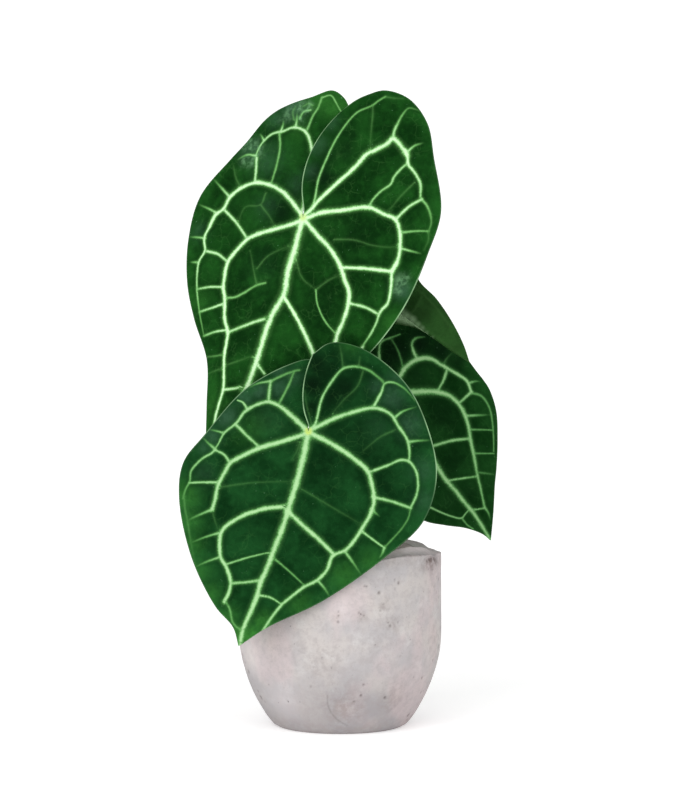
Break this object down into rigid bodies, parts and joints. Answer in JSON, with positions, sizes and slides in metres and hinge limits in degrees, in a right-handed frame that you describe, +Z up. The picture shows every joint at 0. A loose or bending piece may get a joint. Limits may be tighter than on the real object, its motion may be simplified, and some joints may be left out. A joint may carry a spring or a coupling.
{
  "type": "potted velvet-leaf aroid house plant",
  "caption": "Velvet-leaf anthurium with heart-shaped, pale-veined leaves on slim stalks, growing in a round cast-concrete pot.",
  "frame": {"origin": "middle of the pot's flat underside, on the plane it stands on", "axes": "+Z up along the pot's axis, +X to the right and -Y towards the front, the side that the two largest blades face"},
  "size_m": [0.2077, 0.1384, 0.4136],
  "materials": {
    "concrete": "matte",
    "growing_mix": "matte",
    "stem": "matte",
    "petiole": "satin",
    "blade": "satin"
  },
  "bodies": {
    "root": {"pot": "concrete", "growing_mix": "growing_mix", "stem": "stem", "petiole_upper": "petiole", "petiole_front": "petiole", "petiole_right": "petiole", "petiole_rear": "petiole", "blade_upper": "blade", "blade_front": "blade", "blade_right": "blade", "blade_rear": "blade"}
  },
  "joints": []
}
